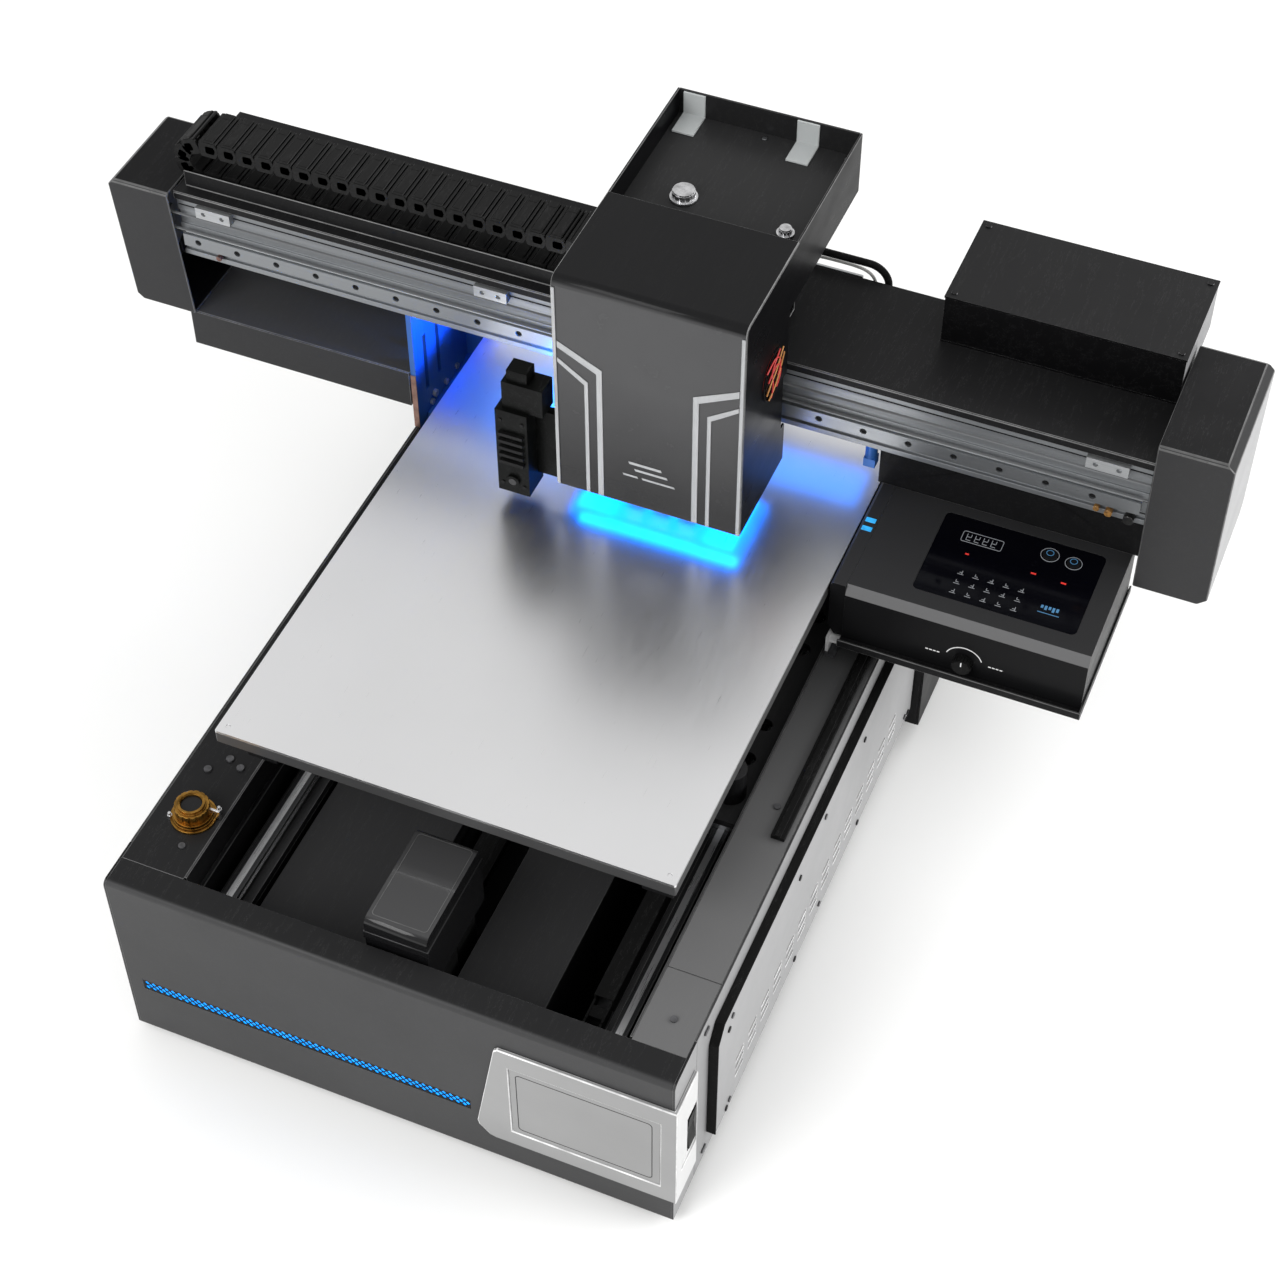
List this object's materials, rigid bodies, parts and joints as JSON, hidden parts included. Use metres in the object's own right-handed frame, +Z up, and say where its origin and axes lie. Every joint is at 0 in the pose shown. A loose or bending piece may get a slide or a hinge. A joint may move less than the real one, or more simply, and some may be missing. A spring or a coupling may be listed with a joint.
{
  "type": "flatbed uv printer",
  "caption": "Flatbed ultraviolet printer: long base with a sliding bright bed, gantry beam with a print head that crosses it, and a side control unit.",
  "frame": {"origin": "on the floor under the feet, at the centre of the machine's overall footprint", "axes": "+X along the gantry beam to the machine's right, +Y from the front panel to the rear, +Z up"},
  "size_m": [1.547, 1.3872, 0.819],
  "materials": {
    "charcoal_paint": "satin powder coat",
    "deck_paint": "satin powder coat",
    "grey_paint": "satin powder coat",
    "bezel_grey": "matt",
    "screen_grey": "satin",
    "black_gloss": "gloss",
    "black_plastic": "satin",
    "platen_aluminium": "fine brushed",
    "beam_aluminium": "brushed",
    "rail_steel": "ground",
    "head_steel": "satin",
    "cap_chrome": "polished",
    "collar_brass": "turned",
    "glow_blue": "glowing diffuser",
    "lamp_blue": "glowing lamp",
    "mark_red": "lit marks",
    "clear_acrylic": "polished",
    "belt_rubber": "matt",
    "fan_orange": "satin"
  },
  "bodies": {
    "base": {"feet": "belt_rubber", "base_panels": "charcoal_paint", "front_fascia": "charcoal_paint", "base_fittings": "black_plastic", "glow_strips": "glow_blue", "led_mesh": "black_plastic", "display_bezel": "bezel_grey", "display_screen": "screen_grey", "decks": "deck_paint", "well_walls": "deck_paint", "brass_collar": "collar_brass", "side_covers": "grey_paint", "column_cover": "deck_paint", "base_hardware": "rail_steel", "rail_beds": "deck_paint", "bed_rails": "rail_steel", "bed_drive": "belt_rubber", "motor_cover": "black_gloss", "gantry_brackets": "charcoal_paint", "beam_profile": "beam_aluminium", "x_rail": "rail_steel", "x_belt": "belt_rubber", "stop_blocks": "beam_aluminium", "beam_cover": "deck_paint", "end_cover_left": "charcoal_paint", "end_cover_right": "charcoal_paint", "drip_tray": "charcoal_paint", "electronics_box": "deck_paint", "chain_lower": "black_plastic", "chain_upper": "black_plastic", "cable_loop": "belt_rubber", "control_body": "black_gloss", "control_tray": "black_plastic", "control_glass": "black_gloss", "panel_marks": "mark_red"},
    "bed_slide": {"bed_blocks": "rail_steel", "slide_frame": "deck_paint"},
    "bed_lift": {"lift_frame": "charcoal_paint", "platen": "platen_aluminium"},
    "carriage": {"carriage_plate": "beam_aluminium", "carriage_sides": "black_plastic", "carriage_hood": "black_gloss", "hood_trim": "rail_steel", "rear_tray": "deck_paint", "clear_brackets": "clear_acrylic", "fan_guard": "black_plastic", "print_heads": "head_steel", "uv_lamps": "lamp_blue", "height_sensor": "black_plastic"},
    "fan": {"fan_impeller": "fan_orange"},
    "cap_large": {"tray_cap_large": "cap_chrome"},
    "cap_small": {"tray_cap_small": "cap_chrome"},
    "drive_wheel": {"drive_pulley": "beam_aluminium"},
    "idler_wheel": {"idler_pulley": "beam_aluminium"},
    "knob": {"control_knob": "black_plastic"},
    "button_a": {"panel_button_a": "black_plastic"},
    "button_b": {"panel_button_b": "black_plastic"},
    "rocker": {"power_rocker": "black_plastic"},
    "deck_push": {"deck_button": "black_plastic"}
  },
  "joints": [
    {"name": "bed_travel", "type": "slide", "parent": "base", "child": "bed_slide", "axis": [0, 1, 0], "range_m": [-0.32, 0.48]},
    {"name": "bed_height", "type": "slide", "parent": "bed_slide", "child": "bed_lift", "axis": [0, 0, 1], "range_m": [-0.04, 0.006]},
    {"name": "carriage_travel", "type": "slide", "parent": "base", "child": "carriage", "axis": [1, 0, 0], "range_m": [-0.54, 0.46], "deforming": ["chain_upper"]},
    {"name": "fan_spin", "type": "hinge", "parent": "carriage", "child": "fan", "pos_m": [0.1895, 0.0976, 0.667], "axis": [1, 0, 0], "continuous": true},
    {"name": "large_cap_turn", "type": "hinge", "parent": "carriage", "child": "cap_large", "pos_m": [0.0265, 0.2386, 0.79], "axis": [0, 0, 1], "continuous": true},
    {"name": "small_cap_turn", "type": "hinge", "parent": "carriage", "child": "cap_small", "pos_m": [0.1685, 0.2216, 0.79], "axis": [0, 0, 1], "continuous": true},
    {"name": "drive_pulley_turn", "type": "hinge", "parent": "base", "child": "drive_wheel", "pos_m": [0.7015, 0.1546, 0.589], "axis": [0, 1, 0], "range_deg": [-2600, 2250]},
    {"name": "idler_pulley_turn", "type": "hinge", "parent": "base", "child": "idler_wheel", "pos_m": [-0.7055, 0.1546, 0.589], "axis": [0, 1, 0], "range_deg": [-2600, 2250]},
    {"name": "knob_turn", "type": "hinge", "parent": "base", "child": "knob", "pos_m": [0.5115, -0.0124, 0.374], "axis": [0, -1, 0], "range_deg": [-135, 135]},
    {"name": "left_button_press", "type": "slide", "parent": "base", "child": "button_a", "axis": [0, 0, -1], "range_m": [0, 0.0012], "stiffness_N_per_m": 900},
    {"name": "right_button_press", "type": "slide", "parent": "base", "child": "button_b", "axis": [0, 0, -1], "range_m": [0, 0.0012], "stiffness_N_per_m": 900},
    {"name": "power_rocker_tilt", "type": "hinge", "parent": "base", "child": "rocker", "pos_m": [0.3875, -0.6424, 0.16], "axis": [0, 1, 0], "range_deg": [-6, 6]},
    {"name": "deck_button_press", "type": "slide", "parent": "base", "child": "deck_push", "axis": [0, 0, -1], "range_m": [0, 0.004], "stiffness_N_per_m": 1200}
  ],
  "couplings": [
    {"joint": "drive_pulley_turn", "follows": "carriage_travel", "rad_per_m": 80},
    {"joint": "idler_pulley_turn", "follows": "carriage_travel", "rad_per_m": 80}
  ]
}
